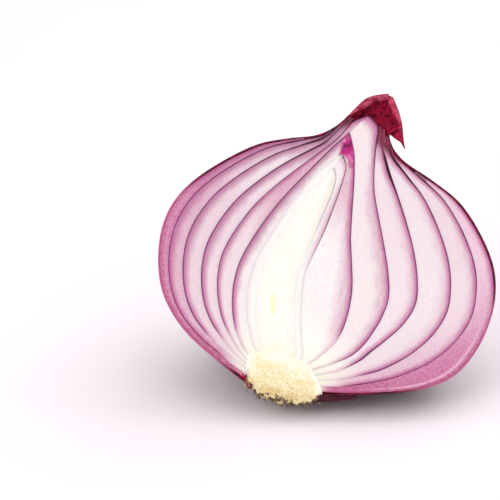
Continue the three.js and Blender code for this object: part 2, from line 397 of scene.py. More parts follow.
def layer_piece(corners, look, closed):
    """One scale or leaf: its bands on the cut face, its two faces round the back, its ends.

    The corners are the outer and inner CAD corners of each side, and look is a dictionary as
    scale_look makes it. A closed layer has no open end at its tip.
    """
    shape = Shape()
    lift, bands, marks = {}, {}, {}
    for side in SIDES:
        outer, inner, open_outer, open_inner = side_curves(corners[side], side, look, closed)
        width = np.linalg.norm(inner - outer, axis=1)
        steps, drop = band_steps(width)
        share = steps / np.maximum(width, 1e-6)[:, None]
        flat = mix(outer[:, None, :], inner[:, None, :], share[..., None])
        run = run_from_root(outer)
        drop = drop * np.where(share < 0.5, open_outer[:, None], open_inner[:, None])
        depth = GROOVE_DEPTH * np.minimum(width / 1.2, 1)[:, None]
        clear = np.minimum(open_outer, open_inner)[:, None]
        swell = CROWN * np.minimum(width / 4, 1)[:, None] * np.sin(np.pi * share) * clear
        here = np.dstack([flat, np.zeros(flat.shape[:2])])
        here[..., 2] = (swell - depth * drop + look["step"] * clear
                        + cut_surface(here) * (1 - drop))
        marks[side] = {"line": look["line"](side, outer[:, 1], run)[:, None],
                       "pink": look["pink"](side, outer[:, 1], run)[:, None]}
        shape.add(here, out=steps, into=width[:, None] - steps, blush=look["blush"](here),
                  dry=look["dry"](here), around=math.pi * (side == "left"), **marks[side])
        lift[side], bands[side] = here[..., 2], flat
    turn = np.linspace(0, 1, COLUMNS)[None, :]
    for edge in (0, -1):
        back = behind(bands["left"][:, edge], bands["right"][:, edge],
                      lift["left"][:, edge], lift["right"][:, edge])
        shared = {name: mix(marks["right"][name], marks["left"][name], turn) for name in marks["left"]}
        out, into = (0.0, FAR_INSIDE) if edge == 0 else (FAR_INSIDE, 0.0)
        shape.add(back, out=out, into=into, blush=look["blush"](back), dry=look["dry"](back),
                  around=turn * math.pi, **shared)
    for row in ([0] if closed else [0, -1]):
        end = behind(bands["left"][row], bands["right"][row], lift["left"][row], lift["right"][row])
        shape.add(end, out=1.0, into=1.0, dry=0.0 if row == 0 else 1.0)
    return shape


# Where the outer scales dry to thin tips that run on up the neck, between skin and column.
# Each entry is a count of CAD corners that give way, then the corners that take over.
DRY_TIPS = {
    "scale_1": {
        "left": (0, [[-16.6, 59.95], [-14.6, 60.75]], [[-16.3, 59.75], [-14.5, 60.62]]),
        "right": (0, [[16.3, 59.93], [13.6, 60.85]], [[16.1, 59.68], [13.5, 60.7]]),
    },
    "scale_2": {
        "left": (0, [[-9.95, 63.0], [-9.35, 63.7], [-8.8, 64.4]],
                 [[-9.8, 62.9], [-9.22, 63.6], [-8.7, 64.3]]),
        "right": (0, [[6.8, 64.0], [5.75, 65.4], [4.75, 67.1]],
                  [[6.5, 63.8], [5.35, 65.3], [4.35, 67.0]]),
    },
    "scale_3": {
        "left": (1, [[-9.0, 63.3], [-7.65, 65.5], [-6.4, 67.4], [-5.5, 69.1]],
                 [[-8.6, 63.1], [-7.35, 65.3], [-6.15, 67.2], [-5.3, 68.9]]),
        "right": (1, [[6.2, 63.5], [5.1, 65.2], [4.1, 66.9], [3.3, 68.6]],
                  [[4.95, 63.4], [4.0, 65.1], [3.35, 66.8], [2.85, 68.4]]),
    },
    "scale_4": {
        "left": (2, [[-8.2, 63.5], [-7.0, 65.6], [-5.85, 67.3], [-5.0, 69.0]],
                 [[-7.0, 62.95], [-5.95, 64.9], [-5.2, 66.9], [-4.6, 68.8]]),
        "right": (2, [[4.55, 63.6], [3.6, 65.4], [2.95, 67.2], [2.4, 68.9]],
                  [[2.95, 63.7], [2.75, 65.3], [2.42, 67.1], [1.95, 68.8]]),
    },
}


def with_dry_tips(sides, tips):
    longer = {}
    for side, (outer, inner) in sides.items():
        lost, outer_tip, inner_tip = tips[side]
        kept = len(outer) - lost
        longer[side] = (np.vstack([outer[:kept], outer_tip]), np.vstack([inner[:kept], inner_tip]))
    return longer


# ---- how each layer looks

# How much of the skin's colour is in each scale's left side, at the belly and in the neck
LEFT_PINK = {1: 0.95, 2: 0.5, 3: 0.26, 4: 0.16, 5: 0.18, 6: 0.1}
LEFT_NECK_PINK = {1: 0.6, 2: 0.1, 3: 0.0, 4: 0.05, 5: 0.65, 6: 0.1}


def nothing(points):
    """A measure that is zero at every point."""
    return np.zeros(points.shape[:-1])


def leaf_tip_blush(points):
    """Bright magenta under the tip of the sixth scale, reaching down its right side."""
    u, v = points[..., 0], points[..., 1]
    foot = mix(59.3, 57.0, smooth(u, -3.4, -2.0)) + 0.5 * rough(points, 0.7, 51)
    up_and_down = smooth(v, foot - 0.4, foot + 0.5) * smooth(v, 65.6, 62.8)
    sideways = smooth(u, -5.9, -4.9) * mix(1.0, 0.6, smooth(u, -3.0, -1.6))
    return up_and_down * sideways * smooth(points[..., 2], -2.5, -1.5)


# Up to this far from the root, the gap outside each scale is closed and has no line.
LINE_STARTS = {
    "left": {1: 3.0, 2: 5.0, 3: 11.0, 4: 8.0, 5: 7.0, 6: 5.0},
    "right": {1: 3.0, 2: 4.5, 3: 8.5, 4: 7.0, 5: 4.5, 6: 8.0},
}


def line_opens(side, number, run):
    start = LINE_STARTS[side][number]
    return smooth(run, start, start + 5)


def gap_round_leaf(side, v):
    """How far open the gap round the heart leaf is: 0 where it is one tissue with the scale."""
    return smooth(v, 26, 40) if side == "right" else 0 * v


def gap_round_bud(side, v):
    """The same for the gap between the heart's leaf and its bud."""
    return 0.8 * smooth(v, 30, 46) if side == "right" else 0 * v


def scale_look(number):
    """What a scale looks like, as functions for its measures and two lengths in mm: how far its
    cut face stands out, and how far it reaches out past the CAD's where its gap is open.
    """
    def gap(edge, side, v, run):
        if number == 6 and edge == "inner":
            return gap_round_leaf(side, v)
        return line_opens(side, number + (edge == "inner"), run)

    def line(side, v, run):
        if number > 1:
            return line_opens(side, number, run)
        return smooth(v, 38, 46) if side == "left" else np.maximum(smooth(v, 33, 42), smooth(v, 8, 5))

    def drying(points):
        start = mix(NECK_FOOT + 2.5, 58.5 + number, smooth(points[..., 0], 0, 2))
        return smooth(points[..., 1], start, start + 3.5)

    def pink(side, v, run):
        if side == "left":
            total = mix(LEFT_PINK[number], LEFT_NECK_PINK[number], smooth(v, 40, 54))
        else:
            low = {1: 1.0 * smooth(v, 48, 14), 2: 0.45 * smooth(v, 34, 10),
                   3: 0.12 * smooth(v, 30, 12)}.get(number, 0 * v)
            total = np.maximum(low, (0.6 if number == 6 else 0.06) * smooth(v, 36, 56))
        return total * (smooth(run, 1.5, 8) if number > 1 else smooth(run, -1, 4))

    return {
        "step": (0.02, -0.03, 0.05, -0.02, 0.04, 0.0)[number - 1],
        "reach": UNDER_SKIN if number == 1 else BETWEEN_SCALES,
        "gap": gap,
        "line": line,
        "pink": pink,
        "blush": leaf_tip_blush if number == 6 else nothing,
        "dry": drying if number < 5 else nothing,
    }


LEAF_LOOK = {
    "step": -0.02,
    "reach": BETWEEN_SCALES,
    "gap": lambda edge, side, v, run: (gap_round_leaf if edge == "outer" else gap_round_bud)(side, v),
    "line": lambda side, v, run: smooth(v, 26, 42) if side == "right" else 0 * v,
    "pink": lambda side, v, run: (0.25 if side == "right" else 0.0) * smooth(v, 24, 50),
    "blush": nothing,
    "dry": nothing,
}
BUD_LOOK = {
    "step": 0.02,
    "gap": gap_round_bud,
    "line": lambda side, v, run: ((0.6 if side == "right" else 0.0) * smooth(v, 30, 46)
                                  + 0.4 * smooth(v, 54.3, 55.6)),
}


def solid_sides(node, rows):
    """Fine left and right curves through the CAD corners of a solid layer."""
    return [spline(chain, np.linspace(0, 1, rows)) for chain in solid_outline(node)]


def solid_piece(left, right, look, columns=25, root=True):
    """A layer without an inside: its cut face from side to side, its back, and a flat root."""
    shape = Shape()
    share = 0.5 - 0.5 * np.cos(np.pi * np.linspace(0, 1, columns))
    width = np.linalg.norm(right - left, axis=1)
    flat = mix(left[:, None, :], right[:, None, :], share[None, :, None])
    steps = np.minimum(share, 1 - share)[None, :] * width[:, None]
    run = run_from_root(left)
    sides = np.where(share < 0.5, *SIDES)
    clear = np.stack([look["gap"](side, left[:, 1]) for side in sides], axis=1)
    depth = GROOVE_DEPTH * np.minimum(width / 2, 1)[:, None] * clear
    drop = np.exp(-steps / 0.12)
    here = np.dstack([flat, np.zeros(flat.shape[:2])])
    here[..., 2] = look["step"] - depth * drop + cut_surface(here)
    lines = [look["line"](side, left[:, 1], run)[:, None] for side in SIDES]
    line = np.where(share[None, :] > 0.5, lines[1], lines[0])
    shape.add(here, out=steps, into=FAR_INSIDE, line=line, around=share[None, :] * math.pi)
    turn = np.linspace(0, 1, COLUMNS)[None, :]
    back = half_tube(left, right)
    back[..., 2] += mix(here[:, -1, 2][:, None], here[:, 0, 2][:, None], turn)
    shape.add(back, into=FAR_INSIDE, around=turn * math.pi)
    if root:
        half = columns // 2 + 1
        foot = half_tube(flat[0, :half], flat[0, ::-1][:half])
        foot[..., 2] += mix(here[0, ::-1][:half, 2][:, None], here[0, :half, 2][:, None], turn)
        shape.add(foot, out=1.0, into=1.0)
    return shape


# ---- materials


def colour(red, green, blue):
    """An sRGB colour, 0 to 255, as the linear colour that a shader takes."""
    shares = (channel / 255 for channel in (red, green, blue))
    return (*((s / 12.92 if s <= 0.04045 else ((s + 0.055) / 1.055) ** 2.4) for s in shares), 1.0)


class Nodes:
    """A short way to write a material's nodes."""

    def __init__(self, name):
        self.material = bpy.data.materials.new(name)
        self.material.use_nodes = True
        self.tree = self.material.node_tree
        self.shader = self.tree.nodes["Principled BSDF"]

    def new(self, kind):
        return self.tree.nodes.new("ShaderNode" + kind)

    def connect(self, socket, value):
        if isinstance(value, bpy.types.NodeSocket):
            self.tree.links.new(value, socket)
        else:
            socket.default_value = value

    def measure(self, name):
        node = self.new("Attribute")
        node.attribute_name = name
        return node.outputs["Fac"]

    def math(self, operation, a, b=0.0, clamp=False):
        node = self.new("Math")
        node.operation, node.use_clamp = operation, clamp
        self.connect(node.inputs[0], a)
        self.connect(node.inputs[1], b)
        return node.outputs[0]

    def times(self, a, b, clamp=False):
        return self.math("MULTIPLY", a, b, clamp)

    def plus(self, a, b):
        return self.math("ADD", a, b)

    def turn(self, value, low, high, to_low=0.0, to_high=1.0):
        """A smooth turn from one value to another while the input runs from low to high."""
        node = self.new("MapRange")
        node.interpolation_type = "SMOOTHSTEP"
        for socket, number in zip(node.inputs[:5], (value, low, high, to_low, to_high)):
            self.connect(socket, number)
        return node.outputs[0]

    def blend(self, share, a, b):
        node = self.new("Mix")
        node.data_type = "RGBA"
        self.connect(node.inputs["Factor"], share)
        self.connect(node.inputs[6], a)
        self.connect(node.inputs[7], b)
        return node.outputs[2]

    def place(self, x, y, z=0.0):
        node = self.new("CombineXYZ")
        for socket, value in zip(node.inputs, (x, y, z)):
            self.connect(socket, value)
        return node.outputs[0]

    def position(self):
        """The point's place on the object, in millimetres."""
        node = self.new("TexCoord")
        scaled = self.new("VectorMath")
        scaled.operation = "SCALE"
        scaled.inputs["Scale"].default_value = 1 / MM
        self.tree.links.new(node.outputs["Object"], scaled.inputs[0])
        return scaled.outputs[0]

    def distance(self, vector, point):
        node = self.new("VectorMath")
        node.operation = "DISTANCE"
        self.tree.links.new(vector, node.inputs[0])
        node.inputs[1].default_value = point
        return node.outputs["Value"]

    def noise(self, vector, scale, detail=3.0, roughness=0.55):
        node = self.new("TexNoise")
        self.connect(node.inputs["Vector"], vector)
        node.inputs["Scale"].default_value = scale
        node.inputs["Detail"].default_value = detail
        node.inputs["Roughness"].default_value = roughness
        return node.outputs["Fac"]

    def cells(self, vector, scale):
        node = self.new("TexVoronoi")
        self.connect(node.inputs["Vector"], vector)
        node.inputs["Scale"].default_value = scale
        return node.outputs["Distance"]

    def finish(self, base, roughness, bump=None, bump_mm=0.02, **constants):
        self.connect(self.shader.inputs["Base Color"], base)
        self.connect(self.shader.inputs["Roughness"], roughness)
        if bump is not None:
            node = self.new("Bump")
            node.inputs["Distance"].default_value = bump_mm * MM
            self.connect(node.inputs["Height"], bump)
            self.connect(self.shader.inputs["Normal"], node.outputs[0])
        for name, value in constants.items():
            self.shader.inputs[name.replace("_", " ")].default_value = value
        return self.material


# The flesh
PINK = colour(197, 98, 151)
DEEP_PINK = colour(174, 52, 108)
# painted highlight along the rounded outer edge of the outermost scale
PAINTED_RIM_HIGHLIGHT = colour(248, 192, 218)
FRINGE = colour(190, 84, 146)
LEFT_FRINGE = colour(170, 80, 134)
DARK_LINE = colour(122, 42, 98)
NECK_LINE = colour(66, 8, 40)
ROOT_LINE = colour(120, 10, 44)
# Painted highlight: pale specks that stand in for glints of light on the wet flesh
PAINTED_GLINT = colour(252, 246, 248)
GREYED = colour(214, 192, 206)
INNER_TINT = colour(232, 198, 216)
CREAM = colour(253, 251, 240)
ROOT_CREAM = colour(252, 245, 216)
ROOT_TAN = colour(248, 232, 182)
HEART_STREAK = colour(230, 224, 196)
SHOOT_GREEN = colour(246, 246, 200)

# The leaf tip under the neck with its painted highlight, and leaves that have dried
MAGENTA = colour(186, 16, 120)
DEEP_MAGENTA = colour(112, 4, 74)
MAGENTA_HIGHLIGHT = colour(236, 136, 194)
DRY_LEAF = colour(84, 10, 34)
DRY_PINK = colour(156, 50, 84)

# The dry skin: its outside, its hidden side at the neck, its curled lip and its cut edge
SKIN_DARK = colour(48, 0, 18)
SKIN_RED = colour(104, 8, 40)
SKIN_VEIN = colour(142, 28, 62)
# dark patches on the skin, and painted shade at its cut edges and on the right-hand shreds
SKIN_PATCH_AND_PAINTED_SHADE = colour(34, 0, 14)
NECK_RED = colour(166, 52, 78)
HOOD_DARK = colour(98, 0, 32)
HOOD_RED = colour(184, 6, 62)
# painted highlight on the crumpled inside of the hood
HOOD_HIGHLIGHT = colour(206, 60, 100)
LIP_RED = colour(142, 14, 52)
LIP_PALE = colour(200, 76, 104)
EDGE_PINK = colour(184, 84, 134)
EDGE_PALE = colour(208, 116, 160)

# The root plate
PLATE_LIGHT = colour(254, 245, 208)
PLATE_TAN = colour(240, 214, 150)
PLATE_LOW = colour(224, 190, 122)
PLATE_SPECK = colour(176, 130, 82)
PLATE_CREAM = colour(254, 250, 234)
DEAD_ROOT = colour(54, 18, 22)

# A painted highlight, a pale line, runs along the outermost scale, this far from its outer side.
RIM_LINE = 1.25

# Light sinks a little way into moist flesh, and a film of juice lies on it.
MOIST = {"Subsurface_Weight": 0.2, "Subsurface_Scale": 0.0015, "Coat_Weight": 0.08,
         "Coat_Roughness": 0.3, "IOR": 1.36}

# Outer and middle tone of the flesh of each layer
TONES = {
    "scale_1": ((212, 144, 178), (233, 194, 211)),
    "scale_2": ((212, 160, 184), (236, 214, 221)),
    "scale_3": ((222, 178, 197), (238, 226, 228)),
    "scale_4": ((216, 168, 190), (239, 223, 227)),
    "scale_5": ((206, 150, 176), (243, 230, 230)),
    "scale_6": ((212, 160, 184), (248, 241, 239)),
    "heart_leaf": ((226, 186, 204), (247, 238, 241)),
    "heart_bud": ((236, 214, 222), (253, 251, 244)),
}


def root_level(n, place, height):
    """Height above the root with an uneven edge, the same in the heart and in the root plate."""
    unevenness = n.math("SUBTRACT", n.noise(place, 0.45, 3.0, 0.6), 0.5)
    return n.plus(height, n.times(unevenness, 9.0))


def outermost_rim(n, base, mottle):
    """Deep pink outside and at the root of the outermost scale, with a painted highlight along it."""
    out, height, pink = n.measure("out"), n.measure("height"), n.measure("pink")
    outside = n.math("MAXIMUM", n.turn(out, RIM_LINE, 0.6, 0.0, 0.6), n.turn(height, 15, 3, 0.0, 0.85))
    base = n.blend(n.times(outside, pink), base, DEEP_PINK)
    # painted highlight: a pale line on the rounded outer edge, patchy, fading towards the root and
    # weaker on the left
    rim = n.turn(n.math("ABSOLUTE", n.math("SUBTRACT", out, RIM_LINE)), 0.0, 0.7, 0.75, 0.0)
    rim = n.times(rim, n.turn(mottle, 0.3, 0.6, 0.6, 1.0))
    rim = n.times(rim, n.turn(height, 4, 12))
    rim = n.times(rim, n.turn(n.measure("around"), 1.0, 2.4, 1.0, 0.2))
    return n.blend(n.times(rim, pink), base, PAINTED_RIM_HIGHLIGHT)


def leaf_tip(n, base, place, streak):
    """A magenta tip with painted highlight streaks where the leaf has blush, and paper where it has
    dried.
    """
    stripes = n.noise(place, 0.5, 3.0)
    tip = n.blend(n.turn(stripes, 0.52, 0.64), MAGENTA, DEEP_MAGENTA)
    # painted highlight: pale magenta streaks on the leaf tip
    tip = n.blend(n.turn(stripes, 0.44, 0.36, 0.0, 0.8), tip, MAGENTA_HIGHLIGHT)
    base = n.blend(n.measure("blush"), base, tip)
    dried = n.blend(n.turn(streak, 0.42, 0.6), DRY_LEAF, DRY_PINK)
    return n.blend(n.measure("dry"), base, dried)


def flesh(node, heart=0.0, inner_tint=0.6):
    """Moist flesh, dark at its outer side, where the colour of the skin bleeds into it."""
    n = Nodes(f"{node}_flesh")
    out, into, line = n.measure("out"), n.measure("into"), n.measure("line")
    height, pink = n.measure("height"), n.measure("pink")
    place = n.position()
    mottle = n.noise(place, 1.3, 4.0, 0.65)
    blotch = n.noise(place, 0.3, 2.0)
    streak = n.noise(n.place(n.times(out, 2.6), n.times(height, 0.2),
                             n.measure("around")), 1.0, 3.0)
    cells = n.cells(n.place(n.times(out, 2.9), n.times(height, 2.0)), 1.0)
    grain = n.plus(n.times(mottle, 0.6), n.times(cells, 0.4))

    # across a band the flesh pales from its outer side, and is tinted again at its inner side
    outer_tone, middle_tone = (colour(*tone) for tone in TONES[node])
    share = n.math("DIVIDE", out, n.plus(n.plus(out, into), 0.001))
    share = n.plus(share, n.times(n.math("SUBTRACT", blotch, 0.5), 0.3))
    base = n.blend(n.turn(share, 0.02, 0.5), outer_tone, middle_tone)
    base = n.blend(n.turn(into, 0.1, 1.1, inner_tint, 0.0), base, INNER_TINT)
    base = n.blend(n.turn(streak, 0.38, 0.72, 0.0, 0.35), base, middle_tone)
    soaked = n.times(pink, n.turn(grain, 0.25, 0.65, 1.05, 0.92), clamp=True)
    base = n.blend(soaked, base, PINK)
    if node == "scale_1":
        base = outermost_rim(n, base, mottle)
    # painted highlight: pale specks on the flesh's grain, fewer where it is pink
    painted_glint = n.times(n.turn(grain, 0.34, 0.62, 0.0, 0.22), n.turn(pink, 0.0, 1.0, 1.0, 0.4))
    base = n.blend(painted_glint, base, PAINTED_GLINT)
    base = n.blend(n.turn(n.noise(place, 2.6, 3.0, 0.7), 0.45, 0.7, 0.0, 0.38), base, GREYED)

    # the dark outer side, with its pink fringe
    reach = n.times(n.plus(blotch, 0.5), n.turn(height, 54, 64, 1.0, 1.7))
    depth = n.math("DIVIDE", out, reach)
    on_left = n.times(n.turn(n.measure("around"), 1.0, 2.4), n.turn(height, 14, 34))
    fringe_depth = n.math("DIVIDE", depth, n.plus(n.times(on_left, 0.7), 1.0))
    fringe = n.times(n.turn(fringe_depth, 0.08, 1.8, 0.78, 0.0), line)
    base = n.blend(fringe, base, n.blend(on_left, FRINGE, LEFT_FRINGE))
    stroke = n.times(n.turn(depth, 0.06, 0.46, 0.92, 0.0), line)
    dark = n.blend(n.turn(height, 7.0, 10.0), ROOT_LINE, DARK_LINE)
    dark = n.blend(n.turn(height, 40, 60), dark, NECK_LINE)
    base = n.blend(stroke, base, dark)
    if inner_tint:
        base = n.blend(n.times(n.turn(into, 0.03, 0.14, 0.7, 0.0), line), base, dark)

    # cream towards the root and in the heart
    from_plate = n.distance(place, to_world([*PLATE_MIDDLE, 0]) / MM)
    low = n.times(n.turn(from_plate, 8, 20, 0.9, 0.0), n.turn(out, 0.1, 1.4, 0.3, 1.0))
    pale = n.times(n.math("MAXIMUM", low, heart), n.math("SUBTRACT", 1.0, pink), clamp=True)
    cream = n.blend(n.turn(height, 6, 14), ROOT_CREAM, CREAM)
    base = n.blend(n.times(pale, n.math("SUBTRACT", 1.0, stroke)), base, cream)
    if heart:
        base = n.blend(n.turn(streak, 0.5, 0.62, 0.0, 0.42 * heart), base, HEART_STREAK)
        base = n.blend(n.turn(root_level(n, place, height), 9.5, 4.0), base, ROOT_TAN)

    base = leaf_tip(n, base, place, streak)
    relief = n.plus(n.times(cells, 0.5), n.times(mottle, 0.8))
    return n.finish(base, n.turn(mottle, 0.2, 0.8, 0.36, 0.52), relief, 0.05, **MOIST)


def skin_material():
    """Shiny dark paper with fine veins along it, crimson and crumpled at the neck, with painted shade at
    its cut edges.
    """
    n = Nodes("dry_skin")
    height, around, hidden = n.measure("height"), n.measure("around"), n.measure("into")
    place = n.position()
    along = n.times(height, 0.035)
    veins = n.noise(n.place(n.times(around, 13.0), along), 1.0, 5.0, 0.7)
    fine = n.noise(n.place(n.times(around, 60.0), along), 1.0, 3.0, 0.6)
    patch = n.noise(place, 0.09, 4.0, 0.6)
    crumple = n.noise(place, 0.75, 4.0, 0.65)
    base = n.blend(n.turn(veins, 0.35, 0.7), SKIN_DARK, SKIN_RED)
    base = n.blend(n.turn(fine, 0.52, 0.75, 0.0, 0.5), base, SKIN_VEIN)
    base = n.blend(n.turn(patch, 0.5, 0.8, 0.0, 0.5), base, SKIN_PATCH_AND_PAINTED_SHADE)
    neck = n.times(n.turn(height, 56, 74, 0.0, 0.6), n.turn(veins, 0.4, 0.65))
    base = n.blend(neck, base, NECK_RED)
    # painted shade: darker within a hair of the cut edges, and on pieces whose around is 0
    from_middle = n.math("ABSOLUTE", n.math("SUBTRACT", around, math.pi / 2))
    base = n.blend(n.turn(from_middle, 1.53, 1.56, 0.0, 0.85), base, SKIN_PATCH_AND_PAINTED_SHADE)
    wrinkled = n.blend(n.turn(crumple, 0.36, 0.6), HOOD_DARK, HOOD_RED)
    # painted highlight: pale streaks on the crumpled inside of the hood
    wrinkled = n.blend(n.turn(fine, 0.5, 0.7, 0.0, 0.35), wrinkled, HOOD_HIGHLIGHT)
    base = n.blend(hidden, base, wrinkled)
    base = n.blend(n.measure("blush"), base, n.blend(n.turn(crumple, 0.38, 0.62), LIP_RED, LIP_PALE))
    base = n.blend(n.measure("pink"), base, n.blend(crumple, EDGE_PINK, EDGE_PALE))
    dullness = n.plus(n.turn(veins, 0.3, 0.7, 0.28, 0.42), n.times(hidden, 0.3))
    relief = n.plus(n.times(veins, 0.7), n.times(fine, 0.5))
    return n.finish(base, dullness, relief, 0.12, IOR=1.3)


def plate_material():
    """Crumbly tan tissue that pales into the flesh above and beside it."""
    n = Nodes("root_plate")
    height, out = n.measure("height"), n.measure("out")
    place = n.position()
    grain = n.noise(place, 1.3, 5.0, 0.7)
    crumb = n.noise(place, 0.45, 3.0, 0.6)
    level = root_level(n, place, height)
    tan = n.blend(n.turn(grain, 0.4, 0.68), PLATE_LIGHT, PLATE_TAN)
    tan = n.blend(n.turn(level, 3.0, -0.8, 0.0, 0.6), tan, PLATE_LOW)
    specks = n.times(n.turn(n.noise(place, 3.2, 3.0, 0.7), 0.54, 0.64), n.turn(level, 7.0, 3.0))
    tan = n.blend(n.times(specks, 0.5), tan, PLATE_SPECK)
    from_side = n.plus(out, n.times(crumb, 2.4))
    merged = n.times(n.turn(from_side, 1.2, 4.4, 1.0, 0.0), n.turn(height, 1.5, 3.5))
    merged = n.times(merged, n.turn(height, 8.5, 7.0))
    merged = n.math("MAXIMUM", merged, n.turn(level, 4.0, 9.5))
    base = n.blend(merged, tan, PLATE_CREAM)

    # dead, dark bits along the bottom
    bits = n.turn(n.noise(place, 0.5, 2.0), 0.42, 0.48)
    ragged = n.plus(height, n.times(n.math("SUBTRACT", grain, 0.5), 6.0))
    edge = n.math("MAXIMUM", n.turn(ragged, -0.4, -1.1), n.turn(out, 1.0, 0.4))
    edge = n.times(edge, n.turn(height, 3.4, 2.0))
    dirt = n.math("MAXIMUM", n.times(edge, bits), n.measure("dry"))
    base = n.blend(n.times(dirt, 0.9), base, DEAD_ROOT)
    relief = n.plus(grain, n.times(crumb, 0.8))
    return n.finish(base, n.turn(grain, 0.3, 0.7, 0.6, 0.85), relief, 0.1,
                    Subsurface_Weight=0.15, Subsurface_Scale=0.001)


def shoot_material():
    """Pale green flesh that fades to cream at its sides."""
    n = Nodes("green_shoot")
    mottle = n.noise(n.position(), 0.9, 3.0)
    edge = n.times(n.turn(n.measure("out"), 0.1, 1.0), n.turn(mottle, 0.2, 0.6, 0.6, 1.0))
    base = n.blend(edge, CREAM, SHOOT_GREEN)
    return n.finish(base, 0.42, mottle, 0.04, **MOIST)


# ---- build the layers


def heart_bud():
    left, right = solid_sides("heart_bud", ROWS)
    for side, curve in zip(SIDES, (left, right)):
        gap = gap_round_bud(side, curve[:, 1])
        curve[:] = moved_out(curve, side, mix(JOINED, BETWEEN_SCALES, gap), closed=True)
        curve[:ROOT_ROWS, 1] -= np.linspace(INTO_PLATE, 0, ROOT_ROWS)
    return solid_piece(left, right, BUD_LOOK)


def green_shoot():
    left, right = solid_sides("green_shoot", 30)
    return solid_piece(left, right, dict(BUD_LOOK, step=0.08), 15, root=False)


for number in range(1, 7):
    node = f"scale_{number}"
    closed = number > 4
    corners = closed_layer(node) if closed else with_dry_tips(open_layer(node), DRY_TIPS[node])
    scale = layer_piece(corners, scale_look(number), closed)
    material = flesh(node, inner_tint=0.0 if number == 6 else 0.6)
    # the outermost scale rests on the skin's flat spot
    lowest = SKIN_THICKNESS + GROOVE_WIDTH if number == 1 else None
    scale.build(f"{node}_flesh", material, "scale", node, lowest)

leaf = layer_piece(closed_layer("heart_leaf"), LEAF_LOOK, closed=True)
leaf.build("heart_leaf_flesh", flesh("heart_leaf", heart=0.4, inner_tint=0.0), "heart", "heart_leaf")
heart_bud().build("heart_bud_flesh", flesh("heart_bud", heart=0.7), "heart", "heart_bud")
green_shoot().build("green_shoot_leaf", shoot_material(), "shoot", "green_shoot")


# ---- the root plate


def root_plate():
    """The plate itself, crumbly on the cut face and ragged along its bottom."""
    left, right = solid_sides("root_plate", 80)
    shape = solid_piece(left, right, dict(BUD_LOOK, step=0.05), 71, root=False)
    for block in shape.points:
        low = smooth(block[:, 1], 5.5, 0.5)
        push = 0.4 * rough(block, 1.4, 21) + 0.3 * rough(block, 0.6, 22)
        block[:, 2] += np.where(block[:, 2] > -0.5, push * (0.05 + low), 0)
        block[:, 1] += 1.1 * rough(block, 0.9, 23) * smooth(block[:, 1], 3, -1)
    return shape


def tapered_thread(path, radius):
    """A thread along a path that thins out to a point."""
    turn = np.linspace(0, 2 * math.pi, 7)
    rings = []
    for share, point in zip(np.linspace(0, 1, len(path)), path):
        ring = np.stack([np.cos(turn), 0.3 * np.sin(turn), np.sin(turn)], axis=1)
        rings.append(point + ring * radius * (1 - 0.85 * share))
    return np.array(rings)


def broken_roots(shape, count=46):
    """Short dry roots that are left under the root plate."""
    draw = np.random.default_rng(5)
    left, right = solid_outline("root_plate")
    low = np.vstack([left[::-1], right[1:]])
    low = low[low[:, 1] < 3.2]
    low = low[low[:, 0].argsort()]
    for _ in range(count):
        u = draw.uniform(low[0, 0] + 0.4, low[-1, 0] - 0.4)
        v = np.interp(u, low[:, 0], low[:, 1]) + 0.5
        w = -0.2 - draw.uniform(0, 1) ** 1.5 * 7
        length = draw.uniform(0.8, 1.9)
        aim = np.array([0.12 * (u + 2) + draw.normal(0, 0.35), -1.0, draw.normal(0, 0.3)])
        steps = np.linspace(0, 1, 6)[:, None]
        bend = np.array([draw.normal(0, 0.5), 0.0, draw.normal(0, 0.4)])
        path = np.array([u, v, w]) + steps * length * aim + steps ** 2 * bend
        brown = draw.uniform(0, 1) ** 2 * 0.8
        shape.add(tapered_thread(path, draw.uniform(0.16, 0.34)), out=3.0, dry=brown)


plate = root_plate()
broken_roots(plate)
plate.build("root_plate_tissue", plate_material(), "root_plate", "root_plate")


# ---- the dry skin


def sheet(shape, middle, thickness, **measures):
    """A thin closed shell round a grid of points."""
    offset = unit_normals(middle) * np.broadcast_to(thickness, middle.shape[:2])[..., None] / 2
    front, back = middle + offset, middle - offset
    shape.add(front, into=0.0, **measures)
    shape.add(back, into=1.0, **measures)
    all_of = slice(None)
    for rim in ((0, all_of), (-1, all_of), (all_of, 0), (all_of, -1)):
        strip = {name: np.broadcast_to(value, middle.shape[:2])[rim] for name, value in measures.items()}
        shape.add(np.stack([front[rim], back[rim]]), into=0.2, **strip)


# The skin's right side follows the neck more closely than the CAD, which fills out the flap.
# These of its corners, counted from the root, move.
NECK_RIGHT = {14: (6.2, 65.5), 15: (5.15, 67.4), 16: (6.3, 69.0), 17: (7.45, 70.35)}


def skin_sides():
    """The middle of the skin's thickness on both sides, finest where the neck folds in."""
    sides = closed_layer("dry_skin")
    left, right = sides["left"][0].copy(), sides["right"][0].copy()
    for index, corner in NECK_RIGHT.items():
        right[index] = corner
    at = np.concatenate([np.linspace(0, 0.68, 90), np.linspace(0.68, 0.985, 76)[1:]])
    return [moved_out(spline(curve, at), side, -SKIN_THICKNESS / 2)
            for side, curve in zip(SIDES, (left, right))]


def edge_pink(side, v):
    """Where the cut edge of the skin is pink and not dark."""
    if side == "left":
        return smooth(v, 1.0, 4.0) * smooth(v, 45, 39)
    return smooth(v, 8.0, 13.0) * smooth(v, 40, 32)


